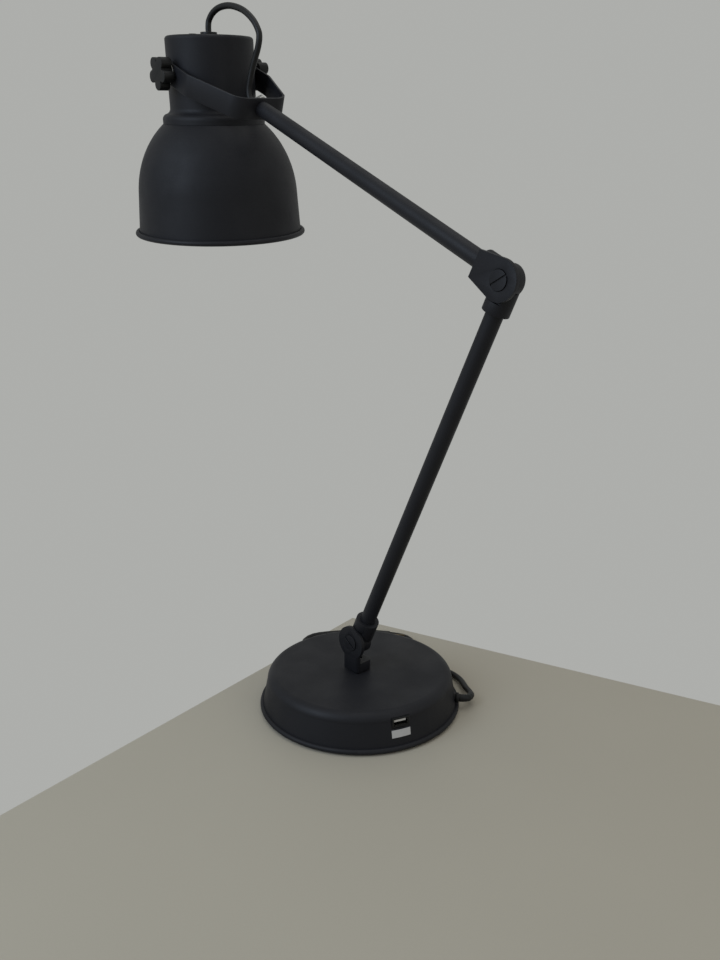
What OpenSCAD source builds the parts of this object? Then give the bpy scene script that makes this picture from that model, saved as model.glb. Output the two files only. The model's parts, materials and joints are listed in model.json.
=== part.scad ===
// Desk work lamp: weighted round base with a USB outlet, two tube arms on clamp hinges,
// a strap fork and a bell shade held by two star knobs. Millimetres, +Z up, origin at the
// centre of the underside. The arms lie in the XZ plane and every arm hinge turns about Y.

/* [Base] */
// Outer radius of the rolled rim
rim_r = 90; // [80:1:110]
// Thickness of the rolled rim
rim_d = 4.6; // [3.6:0.2:6]
// How far the rim stands out past the foot of the wall
rim_step = 2.6; // [1.5:0.1:4]
// How much the wall leans in from foot to shoulder
wall_draft = 4.2; // [1:0.2:8]
// Radius of the rounded shoulder
shoulder_r = 8.2; // [5:0.2:8.4]
// Height of the top face above the table
base_h = 33.6; // [32.6:0.2:42]
// Sheet thickness of the base shell
base_t = 1; // [0.8:0.1:1.2]
// Thickness of the foam pad it stands on
pad_t = 1; // [0.6:0.1:2]
// Thickness of the bottom plate
plate_t = 1.2; // [0.8:0.1:2]
// Radius of the iron ballast disc
ballast_r = 68; // [60:1:72]
// Thickness of the ballast disc
ballast_h = 12; // [8:0.5:14]

/* [USB outlet] */
// Direction of the outlet round the base, in degrees
usb_az = -19.5; // [-60:0.5:20]
// Height of the outlet's centre
usb_z = 24.2; // [24:0.2:27]
// Width of the outlet's bezel
bezel_w = 16; // [14.6:0.2:20]
// Height of the outlet's bezel
bezel_h = 9; // [7.4:0.2:9.2]
// Width of the bare rating label
label_w = 16.8; // [12:0.2:24]
// Height of the bare rating label
label_h = 6.2; // [4:0.2:7]

/* [Arms] */
// Height of the lower hinge above the table
hinge_z = 61.3; // [60:0.1:75]
// Lean of the lower arm from upright, in degrees
lean = 24.8; // [-10:0.1:45]
// Lower arm, hinge to hinge
lower_len = 346.5; // [250:0.5:450]
// Turn of the upper arm from the line of the lower arm, in degrees
elbow_turn = -87.6; // [-100:0.1:-40]
// Upper arm, hinge to shade pivot
pivot_reach = 391; // [300:0.5:480]
// Outer radius of the arm tubes
tube_r = 6.65; // [6:0.05:7.4]
// Wall of the arm tubes
tube_wall = 1; // [0.7:0.1:1.2]

/* [Hinges] */
// Radius of the round cheeks on the screw heads' side
cheek_r = 14.8; // [12.6:0.1:16]
// Thickness of a cheek
cheek_t = 3.4; // [3:0.1:4]
// Radius of the knuckles behind the cheeks
knuckle_r = 11.4; // [11:0.1:12]
// Radius of the round sockets that hold the tubes
socket_r = 10.2; // [9.4:0.1:11.4]
// Depth of the round sockets
socket_len = 8.4; // [8:0.2:14]
// Width of the base fitting's foot
foot_w = 19.2; // [18:0.2:24]
// Radius of the slotted screw heads
head_r = 7.1; // [6:0.1:8.4]
// Radius of the hinge screws
screw_r = 4; // [3:0.1:4.4]

/* [Fork] */
// Twist of the fork about the upper arm, in degrees
fork_twist = -7.6; // [-30:0.1:30]
// Distance from the shade pivot to the fork's cross piece
fork_reach = 85; // [78:0.5:95]
// Width of the fork's cross piece
cross_w = 48; // [42:0.5:56]
// Radius of the strap's bends
bend_r = 14; // [8:0.5:16]
// Width of the strap
strap_w = 18; // [14:0.5:20]
// Thickness of the strap
strap_t = 2; // [1.5:0.1:3]

/* [Shade] */
// Tilt of the shade against the upper arm, in degrees
shade_turn = 70.8; // [62:0.1:120]
// Outer radius of the neck
neck_r = 39.7; // [36:0.1:41]
// Height of the neck's top above the pivot
neck_top = 30.2; // [28:0.2:38]
// Length of the straight part of the neck
neck_len = 59; // [52:0.5:66]
// Radius of the two curves of the flare at the foot of the neck
flare_r = 5; // [4:0.2:10]
// Height of the lip below the flare
lip_h = 3.6; // [3:0.2:8]
// Greatest radius of the bell
bell_r = 75.8; // [66:0.2:84]
// Height of the rounded part of the bell
bell_dome_h = 65.5; // [56:0.5:72]
// Height of the flared skirt of the bell
skirt_h = 31.5; // [20:0.5:45]
// How much the skirt widens
skirt_flare = 2.6; // [0:0.1:5]
// Thickness of the rolled edge of the bell
edge_d = 4.8; // [3.6:0.2:6]
// Sheet thickness of the shade
shade_t = 0.9; // [0.7:0.1:1.2]

/* [Knobs and switch] */
// Radius of the star knobs over the lobes
knob_r = 14.2; // [12:0.1:18]
// Thickness of the star knobs
knob_t = 10; // [7:0.5:14]
// Lobes on a star knob
knob_lobes = 5; // [4:1:7]
// Radius of the push button
button_r = 4; // [3:0.1:4.6]
// Travel of the push button
button_travel = 2.5; // [1.5:0.1:3]

/* [Cords] */
// Diameter of the mains cord
cord_d = 5.5; // [4.5:0.1:6]
// Diameter of the cord between arm and shade
head_cord_d = 5.3; // [4.5:0.1:6]

/* [Hidden] */
$fn = 72;

// Clearances
run_gap = 0.05;
seat_gap = 0.1;
free_gap = 0.3;
cut_over = 1;

// Colours
coat = [0.16, 0.165, 0.18];
black = [0.05, 0.05, 0.055];
steel = [0.62, 0.63, 0.65];
brass = [0.78, 0.62, 0.30];
iron = [0.35, 0.35, 0.36];
green = [0.10, 0.36, 0.20];
white = [0.90, 0.90, 0.88];

// Points of an arc about c from angle a0 to a1
function arc(c, r, a0, a1, n = 12) =
  [for (i = [0:n]) c + r * [cos(a0 + (a1 - a0) * i / n), sin(a0 + (a1 - a0) * i / n)]];

// Cylinder along Y between two places
module y_cyl(r, y0, y1) {
  translate([0, y0, 0]) rotate([-90, 0, 0]) cylinder(h = y1 - y0, r = r);
}

// Ring along Y
module y_ring(r, bore, y0, y1) {
  difference() {
    y_cyl(r, y0, y1);
    y_cyl(bore, y0 - cut_over, y1 + cut_over);
  }
}

// Hexagon nut along Z, h high, with a round bore
module hex_nut(r, h, bore) {
  difference() {
    cylinder(h = h, r = r, $fn = 6);
    translate([0, 0, -cut_over]) cylinder(h = h + 2 * cut_over, r = bore);
  }
}

// Tube along Z
module pipe(r, bore, h) {
  difference() {
    cylinder(h = h, r = r);
    translate([0, 0, -cut_over]) cylinder(h = h + 2 * cut_over, r = bore);
  }
}

// Places of the moving groups
module at_lower() { translate([0, 0, hinge_z]) rotate([0, lean, 0]) children(); }
module at_upper() { at_lower() translate([0, 0, lower_len]) rotate([0, elbow_turn, 0]) children(); }
module at_fork() { at_upper() translate([0, 0, pivot_reach]) rotate([0, 0, fork_twist]) children(); }
module at_shade() { at_fork() rotate([0, shade_turn, 0]) children(); }

// Base: levels and radii
wall_r = rim_r - rim_step;
shoulder_wall_r = wall_r - wall_draft;
wall_foot_z = pad_t + rim_d / 2;
shoulder_z = base_h - shoulder_r;
plate_r = rim_r - rim_d - 0.4;
pad_r = plate_r - 4;
plate_top = pad_t + plate_t;
ballast_top = plate_top + ballast_h;
ballast_bore = 20;
lid_under = base_h - base_t;
stud_r = 4;
stud_ring = 55;
stud_azimuths = [70, 170, 270];
cross_slot_w = 0.8;
cross_slot_h = 0.6;
bottom_screw_r = 2;
bottom_screw_head_r = 3.8;
bottom_screw_head_h = 1.1;
bottom_screw_grip = 8;
function wall_radius(z) =
  wall_r - wall_draft * (z - wall_foot_z) / (shoulder_z - wall_foot_z);

// Hollow bolt that carries the arm on the base
bolt_r = 5;
bolt_bore = 3.4;
swivel_washer_t = 1;
lock_nut_h = 5;
lock_nut_r = 9;
fitting_foot_z = base_h + swivel_washer_t + seat_gap;

module base_shell() color(coat) difference() {
  union() {
    rotate_extrude() polygon(concat(
      [[0, base_h]],
      arc([shoulder_wall_r - shoulder_r, shoulder_z], shoulder_r, 90, 0),
      [[wall_r, wall_foot_z], [wall_r - base_t, wall_foot_z]],
      arc([shoulder_wall_r - shoulder_r, shoulder_z], shoulder_r - base_t, 0, 90),
      [[0, lid_under]]));
    rotate_extrude() translate([rim_r - rim_d / 2, wall_foot_z]) circle(d = rim_d);
  }
  translate([0, 0, lid_under - cut_over]) cylinder(h = base_t + 2 * cut_over, r = bolt_r + run_gap);
  at_usb() translate([0, -bezel_w / 2 - seat_gap, usb_z - bezel_h / 2 - seat_gap])
    cube([rim_r, bezel_w + 2 * seat_gap, bezel_h + 2 * seat_gap]);
  at_gland() cylinder(h = rim_r, r = gland_r + seat_gap);
}

module base_pad() color(black) cylinder(h = pad_t, r = pad_r);

module each_stud() {
  for (a = stud_azimuths) rotate([0, 0, a]) translate([stud_ring, 0, 0]) children();
}

module bottom_plate() color(iron) difference() {
  translate([0, 0, pad_t]) cylinder(h = plate_t, r = plate_r);
  each_stud() translate([0, 0, pad_t - cut_over])
    cylinder(h = plate_t + 2 * cut_over, r = bottom_screw_head_r + seat_gap);
}

module ballast_weight() color(iron) difference() {
  translate([0, 0, plate_top]) cylinder(h = ballast_h, r = ballast_r);
  translate([0, 0, plate_top - cut_over]) cylinder(h = ballast_h + 2 * cut_over, r = ballast_bore);
  each_stud() translate([0, 0, plate_top - cut_over])
    cylinder(h = ballast_h + 2 * cut_over, r = bottom_screw_r + 2 * seat_gap);
}

module weld_studs() color(steel) each_stud() difference() {
  translate([0, 0, ballast_top]) cylinder(h = lid_under - ballast_top, r = stud_r);
  translate([0, 0, ballast_top - cut_over])
    cylinder(h = bottom_screw_grip + 2 * cut_over, r = bottom_screw_r + run_gap);
}

module bottom_screws() color(steel) each_stud() difference() {
  union() {
    translate([0, 0, pad_t]) cylinder(h = bottom_screw_head_h, r = bottom_screw_head_r);
    translate([0, 0, pad_t]) cylinder(h = ballast_top + bottom_screw_grip - pad_t, r = bottom_screw_r);
  }
  for (turn = [0, 90]) rotate([0, 0, turn])
    translate([-bottom_screw_head_r / 2, -cross_slot_w / 2, pad_t - cut_over])
      cube([bottom_screw_head_r, cross_slot_w, cut_over + cross_slot_h]);
}

// USB outlet on its small power board
usb_shell_w = 13.1;
usb_shell_h = 5.7;
usb_shell_t = 0.4;
usb_depth = 14;
usb_set_back = 0.3;
usb_back_t = 2;
bezel_proud = 0.5;
usb_face = wall_radius(usb_z) - usb_set_back;
bezel_out = wall_radius(usb_z) + bezel_proud;
bezel_depth = 6;
tongue_gap = 0.5;
tongue_short = 1;
tongue_w = 10.4;
tongue_h = 1.9;
board_t = 1.6;
board_w = 44;
board_set_back = 7;
board_out = usb_face - board_set_back;
board_len = 32;
board_in = board_out - board_len;
board_top = usb_z - usb_shell_h / 2 - seat_gap;
standoff_r = 2.5;
standoff_edge = 1;
standoff_inset = 7;
coil_in = 3;
coil_len = 15;
coil_w = 18;
coil_headroom = 2;
module at_usb() { rotate([0, 0, usb_az]) children(); }

module usb_bezel() color(black) at_usb() difference() {
  translate([bezel_out - bezel_depth, -bezel_w / 2, usb_z - bezel_h / 2])
    cube([bezel_depth, bezel_w, bezel_h]);
  translate([bezel_out - bezel_depth - cut_over, -usb_shell_w / 2 - seat_gap,
    usb_z - usb_shell_h / 2 - seat_gap])
    cube([bezel_depth + 2 * cut_over, usb_shell_w + 2 * seat_gap, usb_shell_h + 2 * seat_gap]);
}

module usb_socket() color(steel) at_usb() difference() {
  translate([usb_face - usb_depth, -usb_shell_w / 2, usb_z - usb_shell_h / 2])
    cube([usb_depth, usb_shell_w, usb_shell_h]);
  translate([usb_face - usb_depth + usb_back_t, -usb_shell_w / 2 + usb_shell_t,
    usb_z - usb_shell_h / 2 + usb_shell_t])
    cube([usb_depth, usb_shell_w - 2 * usb_shell_t, usb_shell_h - 2 * usb_shell_t]);
}

module usb_tongue() color(white) at_usb()
  translate([usb_face - usb_depth + usb_back_t, -tongue_w / 2,
    usb_z + usb_shell_h / 2 - usb_shell_t - tongue_h - tongue_gap])
    cube([usb_depth - usb_back_t - tongue_short, tongue_w, tongue_h]);

module power_board() color(green) at_usb()
  translate([board_in, -board_w / 2, board_top - board_t])
    cube([board_out - board_in, board_w, board_t]);

module board_standoffs() color(brass) at_usb()
  for (x = [board_in + standoff_r + standoff_edge, ballast_r - standoff_r - standoff_inset], y = [-1, 1])
    translate([x, y * (board_w / 2 - standoff_r - standoff_edge), ballast_top])
      cylinder(h = board_top - board_t - ballast_top, r = standoff_r);

module transformer() color(brass) at_usb()
  translate([board_in + coil_in, -coil_w / 2, board_top])
    cube([coil_len, coil_w, lid_under - board_top - coil_headroom]);

label_z = 15.2;
label_t = 0.3;
module rating_label() color(white) at_usb() intersection() {
  rotate_extrude() polygon([for (side = [0, 1], up = [0, 1])
    let (z = label_z + (side == up ? -1 : 1) * label_h)
    [wall_radius(z) + (side == 0 ? run_gap : label_t), z]]);
  translate([0, -label_w / 2, label_z - label_h / 2]) cube([rim_r, label_w, label_h]);
}

// Cord gland on the base wall
gland_az = 38.5;
gland_z = 10.6;
gland_r = 3.6;
gland_flange_r = 4.6;
gland_end = 89.6;
gland_inside = 7;
gland_neck = 0.5;
module at_gland() {
  rotate([0, 0, gland_az]) translate([0, 0, gland_z]) rotate([0, 90, 0]) children();
}
gland_seat = wall_radius(gland_z - gland_flange_r) + 2 * seat_gap;

module cord_gland() color(black) at_gland() {
  translate([0, 0, gland_seat - gland_inside]) cylinder(h = gland_inside + gland_neck, r = gland_r);
  translate([0, 0, gland_seat]) cylinder(h = gland_end - gland_seat, r = gland_flange_r);
}

washer_inset = 0.6;
module swivel_washer() color(black) translate([0, 0, base_h])
  pipe(foot_w / 2 - washer_inset, bolt_r + run_gap, swivel_washer_t);

// Cords: a tube swept along points, with rings square to the route
function unit(v) = v / norm(v);
function heading(p, i) = unit(p[min(i + 1, len(p) - 1)] - p[max(i - 1, 0)]);
function ring(c, t, up, r, n) =
  let (side = unit(cross(t, up)), top = cross(side, t))
  [for (j = [0:n - 1]) c + r * (cos(360 * j / n) * side + sin(360 * j / n) * top)];

module sweep(p, r, up, n) {
  last = len(p) - 1;
  points = [for (i = [0:last]) each ring(p[i], heading(p, i), up, r, n)];
  sides = [for (i = [0:last - 1], j = [0:n - 1])
    let (a = i * n + j, b = i * n + (j + 1) % n)
    each [[a, b, a + n], [b, b + n, a + n]]];
  ends = [for (j = [1:n - 2]) each [[0, j + 1, j], [last * n, last * n + j, last * n + j + 1]]];
  polyhedron(points, concat(sides, ends));
}

// Points on a smooth curve through a route's own points, n steps to each stretch
function smooth(p, n) =
  let (last = len(p) - 1)
  [for (i = [0:last - 1], k = [0:n - 1])
    let (t = k / n, a = p[max(i - 1, 0)], b = p[i], c = p[i + 1], d = p[min(i + 2, last)])
    b + 0.5 * t * ((c - a) + t * ((2 * a - 5 * b + 4 * c - d) + t * (3 * b - a - 3 * c + d))),
   p[last]];

up_z = [0, 0, 1];
up_y = [0, 1, 0];
cord_sides = 10;

// The hank lies flat behind the base, bent round it, and winds inward to the plug in its middle
hank_az = 137;
hank_half_angle = 18;
hank_in_w = 15;
hank_step = 6.3;
hank_turns = 1.5;
hank_rings = 24;
hank_low = cord_d / 2 + seat_gap;
run_share = 0.3;
function hank_width(u) = hank_in_w + hank_step * (hank_turns - u);
hank_mid_r = rim_r + free_gap + cord_d / 2 + hank_width(0);
function hank_run(u, t, way) =
  let (a = hank_az + way * hank_half_angle * (2 * t - 1), r = hank_mid_r - way * hank_width(u))
  [r * cos(a), r * sin(a), hank_low];
function hank_bend(u, t, way) =
  let (w = hank_width(u), a = hank_az + way * hank_half_angle,
       out = hank_mid_r - way * w * cos(180 * t), along = way * w * sin(180 * t))
  [out * cos(a) - along * sin(a), out * sin(a) + along * cos(a), hank_low];
function hank_point(u) =
  let (t = u - floor(u), bend_share = 0.5 - run_share)
  t < run_share ? hank_run(u, t / run_share, 1) :
  t < 0.5 ? hank_bend(u, (t - run_share) / bend_share, 1) :
  t < 0.5 + run_share ? hank_run(u, (t - 0.5) / run_share, -1) :
  hank_bend(u, (t - 0.5 - run_share) / bend_share, -1);
hank_path = [for (i = [0:hank_turns * hank_rings]) hank_point(i / hank_rings)];
hank_start = hank_path[0];
hank_end = hank_path[len(hank_path) - 1];
hank_start_way = heading(hank_path, 0);
hank_end_way = heading(hank_path, len(hank_path) - 1);
hank_route = concat([hank_start - cord_d * hank_start_way], hank_path,
  [hank_end + cord_d * hank_end_way]);
hank_gap = min([for (i = [0:len(hank_path) - 1], j = [i + hank_rings / 2:len(hank_path) - 1])
  norm(hank_path[i] - hank_path[j])]) - cord_d;
echo(str("least gap between the hank's turns: ", hank_gap, " mm"));

function route_length(p) =
  [for (i = [1:len(p) - 1]) norm(p[i] - p[i - 1])] * [for (i = [1:len(p) - 1]) 1];

// Two-blade plug lying flat in the middle of the hank
plug_az = 37;
plug_at = [-70.5, 95.4];
plug_w = 22;
plug_h = 12.4;
plug_len = 28;
plug_boot = 9;
plug_start = -19;
blade_gap = 12.7;
blade_w = 6.3;
blade_t = 1.5;
blade_len = 16;
plug_z = plug_h / 2;
plug_tail_along = plug_start - plug_boot;
plug_tail = [plug_at[0] + plug_tail_along * cos(plug_az),
  plug_at[1] + plug_tail_along * sin(plug_az), plug_z];
plug_tip = plug_start + plug_len;
blade_seat = 6;
boot_end_t = 0.9;
boot_root_t = 2;
module at_plug() {
  translate([plug_at[0], plug_at[1], plug_z]) rotate([0, 0, plug_az]) rotate([0, 90, 0]) children();
}
module plug_body() color(black) at_plug() difference() {
  union() {
    translate([0, 0, plug_start]) linear_extrude(plug_len) union() {
      square([plug_h, plug_w - plug_h], center = true);
      for (s = [-1, 1]) translate([0, s * (plug_w - plug_h) / 2]) circle(d = plug_h);
    }
    translate([0, 0, plug_tail_along])
      cylinder(h = plug_boot + cut_over, r1 = cord_d / 2 + boot_end_t, r2 = cord_d / 2 + boot_root_t);
  }
  for (s = [-1, 1])
    translate([-blade_w / 2 - seat_gap, s * blade_gap / 2 - blade_t / 2 - seat_gap, plug_tip - blade_seat])
      cube([blade_w + 2 * seat_gap, blade_t + 2 * seat_gap, blade_seat + cut_over]);
}
module plug_blades() color(brass) at_plug()
  for (s = [-1, 1]) translate([-blade_w / 2, s * blade_gap / 2 - blade_t / 2, plug_tip - blade_seat])
    cube([blade_w, blade_t, blade_len + blade_seat]);

// Mains cord: from the gland round the base to the hank, and from the hank to the plug
lead_points = concat(
  [[gland_end * cos(gland_az), gland_end * sin(gland_az), gland_z]],
  [[72.8, 57.9, 10.5], [75.2, 62.5, 10], [73, 69.5, 9], [66.5, 75.5, 7.5], [58.5, 80.5, 6],
   [50, 86.5, 5], [41, 92, 4.2], [30, 95.6, 3.4], [17.5, 96.6, 3], [4, 95.8, 2.9], [-9.5, 93.8, 2.9],
   [-22, 90.8, 2.9], [-34, 87, 2.9]],
  [hank_route[0]]);
tail_points = concat(
  [hank_route[len(hank_route) - 1]],
  [[-115, 65.2, 2.9], [-111.1, 68.4, 3.2], [-106.4, 70.7, 3.9], [-101.8, 72.6, 4.9], [-97.4, 75.1, 5.8]],
  [plug_tail]);

// Cord from the shade's top, in a loop, to the nipple in the fork
cord_grip_h = 3.4;
head_points = [
  [-198.2, -3.9, 585.4], [-197.3, -4.7, 591.8], [-195.6, -4.7, 597], [-189.5, -4.2, 602],
  [-179, -3.6, 604.3], [-164, -3, 602.6], [-147, -2.4, 596], [-134, -2, 586.5], [-127, -1.6, 577],
  [-126, -1.4, 571], [-128.5, -1.2, 564], [-133.5, -1, 556], [-138.5, -0.8, 547.5],
  [-142.2, -0.6, 539.5], [-144.4, -0.4, 532.5], [-143.6, -0.2, 526.4], [-139.4, 0, 522.2], [-132.5, 0, 518.6]];

echo(str("mains cord: ", route_length(smooth(lead_points, 3)) + route_length(hank_route)
  + route_length(smooth(tail_points, 3)), " mm, loop at the shade: ",
  route_length(smooth(head_points, 2)), " mm"));
module mains_cord() color(black) sweep(smooth(lead_points, 3), cord_d / 2, up_z, cord_sides);
module cord_hank() color(black) sweep(hank_route, cord_d / 2, up_z, 6);
module cord_tail() color(black) sweep(smooth(tail_points, 3), cord_d / 2, up_z, cord_sides);

module head_cord() color(black) sweep(smooth(head_points, 2), head_cord_d / 2, up_y, cord_sides);

// Tie over the two strands beside the base, in the middle of their run
tie_w = 7;
tie_t = 0.7;
tie_gap = 0.3;
tie_turn = run_share / 2;
tie_in = hank_mid_r - hank_width(tie_turn) - cord_d / 2 - tie_gap;
tie_out = hank_mid_r - hank_width(1 + tie_turn) + cord_d / 2 + tie_gap;
tie_top = hank_low + cord_d / 2 + tie_gap;
module cord_tie() color(black) rotate([0, 0, hank_az]) difference() {
  translate([tie_in - tie_t, -tie_w / 2, 0]) cube([tie_out - tie_in + 2 * tie_t, tie_w, tie_top + tie_t]);
  translate([tie_in, -tie_w, -cut_over]) cube([tie_out - tie_in, 2 * tie_w, tie_top + cut_over]);
}

// Hinges: a thin cheek and a thick knuckle on one slotted screw, parted in front of the tubes' plane
ear_gap = 0.35;
cheek_face = 11.8;
part_y = -cheek_face + cheek_t + ear_gap;
knuckle_back = 3;
socket_gap = 0.8;
socket_start = cheek_r + socket_gap;
socket_floor = 1.2;
tube_in = socket_start + socket_floor;
fitting_len = socket_start + socket_len;
knuckle_neck = 6;
recess_h = 1.6;
recess_r = head_r + 4 * seat_gap;
head_proud = 0.8;
nut_r = 7.2;
nut_h = 4.4;
nut_recess_r = nut_r + 2 * free_gap;
nut_recess_h = 2.6;
nut_seat = knuckle_back - nut_recess_h;
screw_proud = 0.6;
groove_core = 1.6;
groove_w = 4.4;
groove_in = screw_r + groove_core;
groove_out = groove_in + groove_w;
groove_h = 3;
wire_r = 2.2;
wire_y = -5;
grub_r = 2;
grub_inset = 4;
grub_z = fitting_len - grub_inset;
slot_turn = 35;
slot_w = 1.4;
slot_h = 1.1;
washer_lap = 0.8;

// Everything in front of the parting plane for side -1, behind it for side 1
module half_space(side) {
  size = 4 * cheek_face;
  translate([-size / 2, side > 0 ? part_y + ear_gap : part_y - ear_gap - size, -size / 2])
    cube([size, size, size]);
}

// Bore for the screw, with a recess for its head
module screw_room() {
  y_cyl(recess_r, -cheek_face - cut_over, -cheek_face + recess_h);
  y_cyl(screw_r + run_gap, -2 * cheek_face, 2 * cheek_face);
}

module cheek() difference() {
  y_cyl(cheek_r, -cheek_face, part_y - ear_gap);
  screw_room();
}

// Round socket for the tube, with its floor and grub screw hole
module socket() difference() {
  translate([0, 0, socket_start]) cylinder(h = socket_len, r = socket_r);
  translate([0, 0, tube_in]) cylinder(h = socket_len, r = tube_r + run_gap);
  translate([0, 0, socket_start - cut_over]) cylinder(h = fitting_len, r = wire_r);
  translate([0, 0, grub_z]) y_cyl(grub_r + run_gap, 0, 2 * socket_r);
}

// Arm end with a cheek in front, drawn out flat to the sides of its socket
corner_turn = atan2(fitting_len, socket_r) - acos(cheek_r / norm([socket_r, fitting_len]));
long_cheek = concat(
  arc([0, 0], cheek_r, 180 - corner_turn, 360 + corner_turn, 36),
  [[socket_r, fitting_len], [-socket_r, fitting_len]]);
module cheek_end() {
  difference() {
    translate([0, part_y - ear_gap, 0]) rotate([90, 0, 0])
      linear_extrude(cheek_face + part_y - ear_gap) polygon(long_cheek);
    screw_room();
  }
  socket();
}

// Arm end with a knuckle behind the other piece's cheek
module knuckle_end() {
  difference() {
    union() {
      y_cyl(knuckle_r, part_y + ear_gap, knuckle_back);
      intersection() {
        translate([0, 0, knuckle_neck])
          cylinder(h = socket_start + socket_floor / 2 - knuckle_neck, r = socket_r);
        half_space(1);
      }
    }
    y_cyl(screw_r + run_gap, -2 * cheek_face, 2 * cheek_face);
    y_ring(groove_out, groove_in, part_y - cut_over, part_y + ear_gap + groove_h);
    y_cyl(nut_recess_r, nut_seat, 2 * cheek_face);
    translate([0, wire_y, groove_in]) cylinder(h = fitting_len, r = wire_r);
  }
  difference() {
    socket();
    translate([0, wire_y, groove_in]) cylinder(h = fitting_len, r = wire_r);
  }
}

// Slotted hinge screw, its head on the -Y side
module hinge_screw() difference() {
  union() {
    y_cyl(head_r, -cheek_face - head_proud, -cheek_face + recess_h - run_gap);
    y_cyl(screw_r, -cheek_face, nut_seat + seat_gap + nut_h + screw_proud);
  }
  rotate([0, slot_turn, 0])
    translate([-head_r - cut_over, -cheek_face - head_proud - cut_over, -slot_w / 2])
    cube([2 * head_r + 2 * cut_over, cut_over + slot_h, slot_w]);
}

module hinge_nut() translate([0, nut_seat + seat_gap, 0]) rotate([-90, 0, 0])
  hex_nut(nut_r, nut_h, screw_r + run_gap);
module hinge_washer() y_ring(groove_out + washer_lap, screw_r + run_gap,
  part_y - ear_gap + seat_gap, part_y + ear_gap - seat_gap);
module grub_screw() translate([0, 0, grub_z]) y_cyl(grub_r, tube_r + 2 * run_gap, socket_r - free_gap);

// Fitting on the base: a cheek on a tall tongue, and behind it a low foot round the bolt
fitting_stem = hinge_z - fitting_foot_z;
foot_wall = 2.2;
foot_back = bolt_r + foot_wall;
foot_round = 3;
heel_round = 6;
foot_clear = 6.6;
foot_roof = 2;
foot_h = fitting_stem - knuckle_r - foot_clear;
foot_outline = concat(
  arc([foot_w / 2 - heel_round, foot_back - heel_round], heel_round, 0, 90, 8),
  arc([heel_round - foot_w / 2, foot_back - heel_round], heel_round, 90, 180, 8),
  arc([foot_round - foot_w / 2, foot_round - cheek_face], foot_round, 180, 270, 6),
  arc([foot_w / 2 - foot_round, foot_round - cheek_face], foot_round, 270, 360, 6));
module foot_block(h) translate([0, 0, -fitting_stem]) linear_extrude(h) polygon(foot_outline);

module base_fitting() color(coat) translate([0, 0, hinge_z]) {
  cheek();
  difference() {
    union() {
      foot_block(foot_h);
      intersection() {
        foot_block(fitting_stem);
        half_space(-1);
      }
    }
    y_cyl(recess_r + 2 * cut_over, -2 * cheek_face, 2 * cheek_face);
    translate([0, 0, -fitting_stem - cut_over]) cylinder(h = bolt_seat + cut_over, r = bolt_r + run_gap);
    translate([0, 0, -fitting_stem]) cylinder(h = fitting_stem, r = wire_r);
  }
}

bolt_tail = 1.5;
bolt_seat = foot_h - foot_roof;
lock_nut_foot = lid_under - free_gap - lock_nut_h;
bolt_foot = lock_nut_foot - bolt_tail;
module hollow_bolt() color(steel) translate([0, 0, bolt_foot])
  pipe(bolt_r, bolt_bore, fitting_foot_z + bolt_seat - run_gap - bolt_foot);
module lock_nut() color(steel) translate([0, 0, lock_nut_foot])
  hex_nut(lock_nut_r, lock_nut_h, bolt_r + run_gap);
module base_hinge_screw() color(coat) translate([0, 0, hinge_z]) hinge_screw();
module base_hinge_nut() color(steel) translate([0, 0, hinge_z]) hinge_nut();
module base_hinge_washer() color(black) translate([0, 0, hinge_z]) hinge_washer();

// Arms
cable_r = 2.6;
tube_clear = 0.1;
lower_tube_len = lower_len - 2 * tube_in - 2 * tube_clear;
module lower_arm_foot() color(coat) at_lower() knuckle_end();
module lower_arm_head() color(coat) at_lower() translate([0, 0, lower_len])
  rotate([0, 180, 0]) knuckle_end();
module lower_tube() color(coat) at_lower() translate([0, 0, tube_in + tube_clear])
  pipe(tube_r, tube_r - tube_wall, lower_tube_len);
module lower_cable() color(black) at_lower() translate([0, 0, tube_in + tube_clear])
  cylinder(h = lower_tube_len, r = cable_r);
module lower_grub_screws() color(steel) at_lower() {
  grub_screw();
  translate([0, 0, lower_len - 2 * grub_z]) grub_screw();
}
module elbow_screw() color(coat) at_upper() hinge_screw();
module elbow_nut() color(steel) at_upper() hinge_nut();
module elbow_washer() color(black) at_upper() hinge_washer();

tube_end = pivot_reach - fork_reach - strap_t / 2 - seat_gap;
upper_tube_len = tube_end - tube_in - tube_clear;
insert_len = 14;
nipple_r = 4.8;
nipple_bore = 3.2;
fork_nut_r = 10.2;
fork_nut_h = 4;
fork_nut_at = tube_end + strap_t + 2 * seat_gap + free_gap;
nipple_proud = 0.5;
cable_short = 2;
nipple_end = fork_nut_at + fork_nut_h + nipple_proud;
module upper_arm_foot() color(coat) at_upper() cheek_end();
module upper_tube() color(coat) at_upper() translate([0, 0, tube_in + tube_clear])
  pipe(tube_r, tube_r - tube_wall, upper_tube_len);
module upper_cable() color(black) at_upper() translate([0, 0, tube_in + tube_clear])
  cylinder(h = upper_tube_len - insert_len - cable_short, r = cable_r);
module upper_grub_screw() color(steel) at_upper() grub_screw();
module tube_end_insert() color(steel) at_upper() translate([0, 0, tube_end - insert_len])
  pipe(tube_r - tube_wall - run_gap, nipple_r + run_gap, insert_len);
module fork_nipple() color(steel) at_upper() translate([0, 0, tube_end - insert_len])
  pipe(nipple_r, nipple_bore, nipple_end - tube_end + insert_len);
module fork_nut() color(steel) at_upper() translate([0, 0, fork_nut_at])
  hex_nut(fork_nut_r, fork_nut_h, nipple_r + run_gap);

// Fork: one bent strap from knob to knob round the neck
spacer_t = 1.6;
tine_in = neck_r + spacer_t + seat_gap;
tine_out = tine_in + strap_t;
pivot_r = 3;
washer_t = 0.6;
hub_in = tine_out + washer_t + 2 * seat_gap;
hub_h = 1;
knob_in = hub_in + hub_h;

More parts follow.
